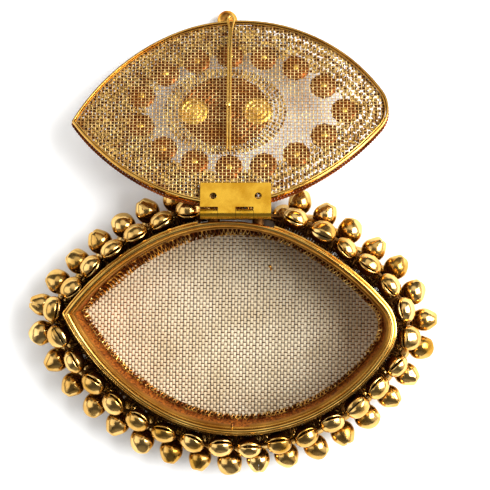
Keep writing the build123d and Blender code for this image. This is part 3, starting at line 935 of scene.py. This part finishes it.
def medallion_beads():
    """Four oval rings of beads, each at a share of the way from the inner size to the outer."""
    build = Build()
    turn = np.linspace(0, 2 * pi, 400, endpoint=False)
    for share, pitch in ((0.1, 1.7), (0.5, 1.75), (0.9, 1.8), (1.28, 1.85)):
        width, height = BEAD_RING_INNER + (BEAD_RING_OUTER - BEAD_RING_INNER) * share
        ring = np.column_stack([MEDALLION_X + width / 2 * np.cos(turn), height / 2 * np.sin(turn)])
        for x, y in spaced(ring, pitch, share):
            bead(build, (x, y, LID_TOP + 0.5), 0.74)
    build.make("medallion_beads", SHADED_BEADING, "lid", "ornament", ["medallion_bead_ring"])


# Clasp, drawn with the lid shut

SPRING_LEVEL = 36.2
SPRING_RADIUS = 0.52
SPRING_ROUTE = [
    (-1.36, 20.2, 0.0), (-1.36, 10, 0.0), (-1.38, -2, 0.0), (-1.36, -14, 0.0), (-1.34, -26, 0.0),
    (-1.25, -31, 0.3), (-0.95, -35, 1.0), (-0.85, -38, 1.4), (-1.2, -40.4, 1.5), (-1.6, -42.6, 1.5),
    (-1.45, -44.6, 1.5), (-0.4, -45.55, 1.5), (0.65, -44.6, 1.5), (0.85, -42.6, 1.5),
    (0.5, -40.4, 1.5), (0.1, -38, 1.4), (-0.1, -35, 1.0), (-0.2, -31, 0.4), (-0.24, -26, 0.0),
    (-0.24, -14, 0.0), (-0.22, -2, 0.0), (-0.24, 10, 0.0), (-0.24, 20.8, 0.0),
]
RIVET_X, RIVET_Y = -0.8, -0.8
RIVET_SECTION = [
    (0.5, 0.0), (1.0, -0.02), (1.1, -0.15), (1.05, -0.45), (0.8, -0.65), (0.4, -0.78), (0.1, -0.8),
]
RIVET_HEIGHTS = (35.7, 37.5, 39.5, 41.1)
BALL_CENTRE = (-2.2, -47.6, 44.9)
BALL_RADIUS = 4.33
BALL_SIDES = 40
BALL_RINGS = 24
BALL_SEAM = 0.12
STEM_ROUTE = [(-0.4, -45.5, 38.0), (-0.7, -46.0, 39.2), (-1.3, -46.6, 40.4), (-1.6, -46.9, 41.4)]


def hairpin_spring():
    """One wire that runs down the lid's middle, round the eye beyond its edge, and back."""
    build = Build()
    path = smooth_path([(x, y, SPRING_LEVEL + lift) for x, y, lift in SPRING_ROUTE], 5)
    rng = random.Random(2)
    uneven = [0.02 * sin(i * 0.35) + rng.uniform(-0.008, 0.008) for i in range(len(path))]
    tube(build, path, SPRING_RADIUS + np.array(uneven), sides=12)
    build.make("hairpin_spring", CLASP, "latch", "clasp", ["latch_spring"])


def clasp_rivet():
    build = Build()
    lathe(build, RIVET_SECTION, (RIVET_X - 0.3, RIVET_Y, RIVET_HEIGHTS[0] + 0.02), 20)
    tube(build, [(RIVET_X, RIVET_Y, z) for z in RIVET_HEIGHTS], 0.48, sides=12)
    build.make("clasp_rivet", CLASP, "lid", "clasp", ["pivot_rivet"])


def hollow_ball():
    """A ball of two pressed halves: slightly dented, with a raised seam round its middle."""
    rng = random.Random(12)
    waves = [(*(rng.uniform(-1, 1) for _ in range(3)), rng.uniform(0, 6)) for _ in range(5)]
    build = Build()
    rows = []
    angle = 2 * pi * np.arange(BALL_SIDES) / BALL_SIDES
    for r in range(1, BALL_RINGS):
        lift = pi * r / BALL_RINGS
        seam = BALL_SEAM * exp(-(((lift - pi / 2) / 0.06) ** 2))
        flat = [sin(lift) * np.cos(angle), sin(lift) * np.sin(angle)]
        way = np.column_stack([*flat, np.full(BALL_SIDES, cos(lift))])
        dent = sum(np.sin(4 * (way @ wave[:3]) + wave[3]) for wave in waves)
        rows.append(np.array(BALL_CENTRE) + way * (BALL_RADIUS + 0.035 * dent + seam)[:, None])
    build.grid(rows, close_columns=True)
    build.cap(0, BALL_SIDES)
    build.cap(build.count - BALL_SIDES, BALL_SIDES, flip=True)
    build.make("hollow_ball", ORNAMENT, "latch", "clasp", ["thumb_ball"])


def ball_stem():
    build = Build()
    tube(build, smooth_path(STEM_ROUTE, 5), 0.45, sides=10)
    build.make("ball_stem_wire", CLASP, "latch", "clasp", ["ball_stem"])


# Bells

# A row lies "out" beyond the rim's edge, with its bells' middles at "height" and their mouths facing
# (out, up) as "mouth" says. "gap" is the stretch left free at the hinge, about x = "gap_x". Towards
# the tip, bells slip by up to "slip": outwards on the clasp's side, inwards on the hinge's. Slits are
# turned by "roll" degrees, give or take "spread".
UPPER_ROW = {
    "count": 29, "out": 7.0, "height": 28.0, "mouth": (-0.12, 1.0), "slip": 2.3, "gap": 35.5,
    "gap_x": 5.0, "roll": 0.0, "spread": 12.0,
}
LOWER_ROW = {
    "count": 31, "out": 15.0, "height": 15.5, "mouth": (1.0, -0.2), "slip": 3.2, "gap": 44.0,
    "gap_x": 1.7, "roll": 62.0, "spread": 34.0,
}
FOOT_ROW = {
    "count": 32, "out": 7.6, "height": 6.4, "mouth": (0.6, -1.0), "slip": 2.3, "gap": 0.0,
    "gap_x": 5.0, "roll": 0.0, "spread": 25.0,
}
SLIP_REACH = 60.0
BELL_RADIUS = 5.4
BELL_COLUMNS = 22
# How far from its ends, as an angle, a bell's surface stops. The wall is a tenth of the radius.
BELL_END = 0.04
BELL_INSIDE = 0.9
# Where the slit ends, as a share of the bell's half length, and how soon it closes there.
SLIT_REACH = 0.62
SLIT_TAPER = 0.1
# Among the upper row's beans a few are wedges, and all lean towards the rim. Any bell may be turned
# and moved a little.
WEDGE_SHARE = 0.15
UPPER_LEAN = 0.28
TURN_SPREAD = 0.2
PLACE_SPREAD = 0.5


def stations(row):
    """Even places around the box, out from the rim's edge, as (x, y, heading), clear of the hinge."""
    arcs = outline_arcs(-row["out"])
    arcs.append((tip_point(outline_arcs(0)), row["out"], arcs[-1][3], arcs[0][2] - 2 * pi))
    lengths = [radius * (start - end) for _, radius, start, end in arcs]
    crown_centre, crown_radius, crown_start, _ = arcs[1]
    crown_turn = crown_start - arc_heading(crown_centre, (row["gap_x"], HINGE_Y))
    hinge = lengths[0] + crown_radius * crown_turn
    pitch = (sum(lengths) - row["gap"]) / row["count"]
    places = []
    for index in range(row["count"]):
        place = (hinge + row["gap"] / 2 + (index + 0.5) * pitch) % sum(lengths)
        for (centre, radius, start, _), length in zip(arcs, lengths):
            if place < length:
                heading = start - place / radius
                places.append((*arc_point(centre, radius, heading), heading))
                break
            place -= length
    return places


def bell_frames(row):
    """Each bell's centre, slit direction and mouth direction."""
    found = []
    for index, (x, y, heading) in enumerate(stations(row)):
        along = Vector((cos(heading), sin(heading), 0))
        outward = Vector((-sin(heading), cos(heading), 0))
        slip = -row["slip"] * outward.y * min(1, max(0, -x / SLIP_REACH))
        centre = Vector((x, y, row["height"])) + outward * slip
        mouth = (outward * row["mouth"][0] + Vector((0, 0, row["mouth"][1]))).normalized()
        roll = radians(row["roll"] + row["spread"] * sin(2.4 * index))
        slit = along * cos(roll) + mouth.cross(along) * sin(roll)
        found.append((centre, slit.normalized(), mouth))
    return found


def bean_profile(pinch):
    """Half of the section across the slit, as shares of the bell's radius: (y, z) from the back of the
    bell round one cheek and over to the lip at the slit."""
    back = [(sin(a), -cos(a)) for a in np.linspace(0.0, 1.62, 9)]
    front = [
        (0.975, 0.24), (0.915, 0.42), (0.82, 0.585), (0.7, 0.72 - 0.02 * pinch),
        (0.56 - 0.02 * pinch, 0.82 - 0.02 * pinch), (0.43 - 0.04 * pinch, 0.885 - 0.02 * pinch),
        (0.31 - 0.04 * pinch, 0.935), (0.2, 0.965), (0.12, 0.96), (0.07, 0.92),
    ]
    return np.array(back + front)


def wedge_profile(pinch):
    """The same for a bell whose cheeks are pressed flat and run straight to its lips."""
    back = [(sin(a), -cos(a)) for a in np.linspace(0.0, 1.3, 8)]
    front = [
        (1.0, 0.0), (0.985, 0.15), (0.93 - 0.01 * pinch, 0.32), (0.83 - 0.03 * pinch, 0.49),
        (0.72 - 0.05 * pinch, 0.65), (0.61 - 0.07 * pinch, 0.8), (0.51 - 0.08 * pinch, 0.92),
        (0.42 - 0.08 * pinch, 0.985), (0.28 - 0.05 * pinch, 1.0), (0.14, 1.0), (0.06, 0.99),
    ]
    return np.array(back + front)


def shell_faces(rows, columns):
    """Faces of an outer and an inner grid of points, joined round their edges."""
    width, shift = rows + 1, (rows + 1) * (columns + 1)
    faces = []
    for c in range(columns):
        for r in range(rows):
            a, b = c * width + r, (c + 1) * width + r
            faces.append((a, b, b + 1, a + 1))
            faces.append((shift + a, shift + a + 1, shift + b + 1, shift + b))
        for r in (0, rows):
            a, b = c * width + r, (c + 1) * width + r
            quad = (a, b, shift + b, shift + a)
            faces.append(quad[::-1] if r == 0 else quad)
    for c in (0, columns):
        for r in range(rows):
            a = c * width + r
            quad = (a, shift + a, shift + a + 1, a + 1)
            faces.append(quad[::-1] if c == 0 else quad)
    return faces


def bell_shell(rng, wedge):
    """A pressed bell in its own frame: mouth towards +Z, slit along X, two cheeks that meet in lips."""
    pinch = rng.uniform(-0.4, 1.0)
    profile = wedge_profile(pinch) if wedge else bean_profile(pinch)
    half_slit = (0.03 if wedge else 0.06) + rng.uniform(-0.012, 0.02)
    length = rng.uniform(1.0, 1.05)
    across = rng.uniform(1.0, 1.06) if wedge else rng.uniform(0.86, 0.96)
    flat = rng.uniform(0.05, 0.13)
    dents = [(*(rng.uniform(-2, 2) for _ in range(3)), rng.uniform(0, 6)) for _ in range(4)]
    half = np.vstack([profile[::-1], profile[1:] * [-1, 1]])
    square = 0.5 if wedge else 0.85
    outer = []
    for lean in np.linspace(BELL_END, pi - BELL_END, BELL_COLUMNS + 1):
        ring = sin(lean)
        tall = (1.0 + 0.1 * (ring - 0.6)) * ring**square
        gape = half_slit * np.clip((SLIT_REACH - abs(cos(lean))) / SLIT_TAPER, 0.0, 1.0)
        y, z = half[:, 0] * ring, np.where(half[:, 1] < 0, half[:, 1] * ring, half[:, 1] * tall)
        parted = np.copysign(np.maximum(abs(y) - half_slit * ring, 0.0) + gape, y)
        y = np.where(z > 0, parted, y)
        y = y * (1 - flat * np.maximum(0.0, abs(y) - 0.35)) * across
        line = np.column_stack([np.full(len(half), cos(lean) * length), y, z]) * BELL_RADIUS
        dent = sum(np.sin(line @ d[:3] / 4.2 + d[3]) for d in dents)
        outer.append(line * (1 + 0.009 * dent)[:, None])
    outer = np.concatenate(outer)
    return np.concatenate([outer, outer * BELL_INSIDE]), shell_faces(len(half) - 1, BELL_COLUMNS)


def nudge(rng, amount):
    return [rng.uniform(-amount, amount) for _ in range(3)]


def bell_row(name, row, seed):
    """A row of bells, all of them wedges but for the upper row's."""
    rng = random.Random(seed)
    build = Build()
    for centre, slit, mouth in bell_frames(row):
        points, faces = bell_shell(rng, wedge=name != "upper" or rng.random() < WEDGE_SHARE)
        if name == "upper":
            mouth = (mouth + UPPER_LEAN * slit.cross(Vector(UP))).normalized()
        mouth = (mouth + Vector(nudge(rng, TURN_SPREAD))).normalized()
        across = mouth.cross(slit).normalized()
        slit = across.cross(mouth)
        basis = np.array([slit, across, mouth])
        build.add(points @ basis + np.array(centre) + nudge(rng, PLACE_SPREAD), faces)
    build.make(f"{name}_jingle_bells", BELL, "base", "bell", [f"{name}_bells"], angle=50)


# A row of stitches: its name, how far out its wire goes, the height there, and the rise to the wall.
STITCHES = [("foot_row_stitches", 4.3, 12.0, 2.5), ("upper_row_stitches", 7.6, 21.2, -3.0)]


def stitches():
    """Thin wire stitched to and fro between the wall and the rows' lacing wires, in dark lacing brass:
    painted shade in the gap behind the bells.
    """
    rng = random.Random(17)
    for name, out, level, rise in STITCHES:
        build = Build()
        points = []
        for i, (near, far) in enumerate(zip(outline(-0.15), outline(-out))):
            place, lift = (far, 0.0) if i % 2 else (near, rise)
            points.append((*place, level + lift + rng.uniform(-0.5, 0.5)))
        stretches, _ = runs(np.array([off_hinge(x, y) for x, y, _ in points]))
        for stretch in stretches:
            tube(build, smooth_path(np.array(points)[stretch], 2), 0.36, sides=4)
        build.make(name, SHADED_LACING, "base", "wire")


# CAD nodes that stay in view


def paint_nodes():
    for name in ("base_hinge_leaf", "lid_hinge_leaf", "hinge_pin", "base_leaf_rivets"):
        paint(name, HINGE)
    # The spacers, bell loops, lacing wires and posts take the dark lacing brass, painted shade.
    paint("hinge_spacers", SHADED_LACING)
    paint("pivot_collar", CLASP)
    for row in ("upper", "lower", "foot"):
        paint(f"{row}_pellets", STEEL)
        for kind in ("bell_loops", "lacing_wire", "lacing_posts"):
            paint(f"{row}_{kind}", SHADED_LACING)


# Stage, in metres

TABLE_GLOW = 0.42
BACKGROUND = 0.11
# Soft glows in the world: the way to each, the cosines where it begins and is full, its strength.
GLOWS = [
    ((0.95, 0.1, 0.28), 0.62, 0.92, 0.88),
    ((-0.96, 0.0, 0.25), 0.7, 0.93, 0.34),
    ((0.0, 0.6, 0.8), 0.86, 0.97, 0.95),
    ((0.0, -1.0, 0.1), 0.75, 0.95, 0.22),
]
LIT_PLACE = (0.0, 0.03, 0.0)
CAMERA_PLACE = (0.0152, 0.0282, 0.517)
CAMERA_TARGET = (0.0057, 0.0358, 0.0)


def table():
    """A white table that glows a little where nothing stands near it, as an overexposed one does: the
    glow is painted light, and its fading near the object is painted shade.
    """
    bpy.ops.mesh.primitive_plane_add(size=4, location=(0, 0, 0))
    plane = bpy.context.object
    plane.name = "table"
    white, tree, shader = new_material("table_white")
    put(shader, {"Base Color": (0.86, 0.87, 0.88, 1), "Roughness": 0.6})
    put(shader, {"Emission Color": (1.0, 0.99, 0.97, 1)})
    # Painted light and shade: the glow is cut where ambient occlusion finds the object near.
    open_sky = add_node(tree, "AmbientOcclusion", {"Distance": 0.04})
    glow = map_range(tree, open_sky.outputs["AO"], 0.35, 1.0, 0.0, TABLE_GLOW)
    tree.links.new(glow, shader.inputs["Emission Strength"])
    plane.data.materials.append(white)


def studio():
    """A dim warm room with soft glows that the metal reflects."""
    world = bpy.data.worlds.new("studio")
    bpy.context.scene.world = world
    world.use_nodes = True
    tree = world.node_tree
    place = add_node(tree, "TexCoord")
    total = None
    for way, edge, core, strength in GLOWS:
        facing = add_node(tree, "VectorMath")
        facing.operation = "DOT_PRODUCT"
        facing.inputs[1].default_value = Vector(way).normalized()
        tree.links.new(place.outputs["Generated"], facing.inputs[0])
        least = BACKGROUND if total is None else 0.0
        glow = map_range(tree, facing.outputs["Value"], edge, core, least, strength, smooth=True)
        if total is None:
            total = glow
            continue
        both = add_node(tree, "Math")
        both.operation = "ADD"
        tree.links.new(total, both.inputs[0])
        tree.links.new(glow, both.inputs[1])
        total = both.outputs["Value"]
    background = tree.nodes["Background"]
    background.inputs["Color"].default_value = (1.0, 0.97, 0.92, 1)
    tree.links.new(total, background.inputs["Strength"])


def area_light(name, place, size, power, gloss=1.0):
    light = bpy.data.lights.new(name, "AREA")
    light.energy, light.size, light.specular_factor = power, size, gloss
    lamp = bpy.data.objects.new(name, light)
    lamp.location = place
    lamp.rotation_euler = (Vector(LIT_PLACE) - Vector(place)).to_track_quat("-Z", "Y").to_euler()
    bpy.context.collection.objects.link(lamp)


def camera():
    """Looks down from almost straight above, with +Y upwards in the picture."""
    view = bpy.data.cameras.new("camera")
    view.sensor_width, view.lens, view.clip_start = 36.0, 82.9, 0.01
    holder = bpy.data.objects.new("camera", view)
    holder.location = CAMERA_PLACE
    back = (Vector(CAMERA_PLACE) - Vector(CAMERA_TARGET)).normalized()
    right = Vector((0, 1, 0)).cross(back).normalized()
    holder.rotation_euler = Matrix((right, back.cross(right), back)).transposed().to_euler()
    bpy.context.collection.objects.link(holder)
    bpy.context.scene.camera = holder


box_wall()
rolled_rim()
inner_lip()
floor_mesh()
hem_seam()
hem_lattice()
solder_drops()
lid_frame()
lid_mesh()
rope()
border_beads()
bead_strings()
discs()
medallion_plate()
medallion_bosses()
medallion_beads()
hairpin_spring()
clasp_rivet()
hollow_ball()
ball_stem()
bell_row("upper", UPPER_ROW, 41)
bell_row("lower", LOWER_ROW, 42)
bell_row("foot", FOOT_ROW, 43)
stitches()
paint_nodes()
table()
studio()
area_light("right_window", (0.68, 0.16, 0.7), 0.7, 20.0)
area_light("left_window", (-0.85, 0.1, 0.7), 1.0, 4.0, gloss=0.4)
camera()
bpy.context.scene.view_settings.view_transform = "Standard"
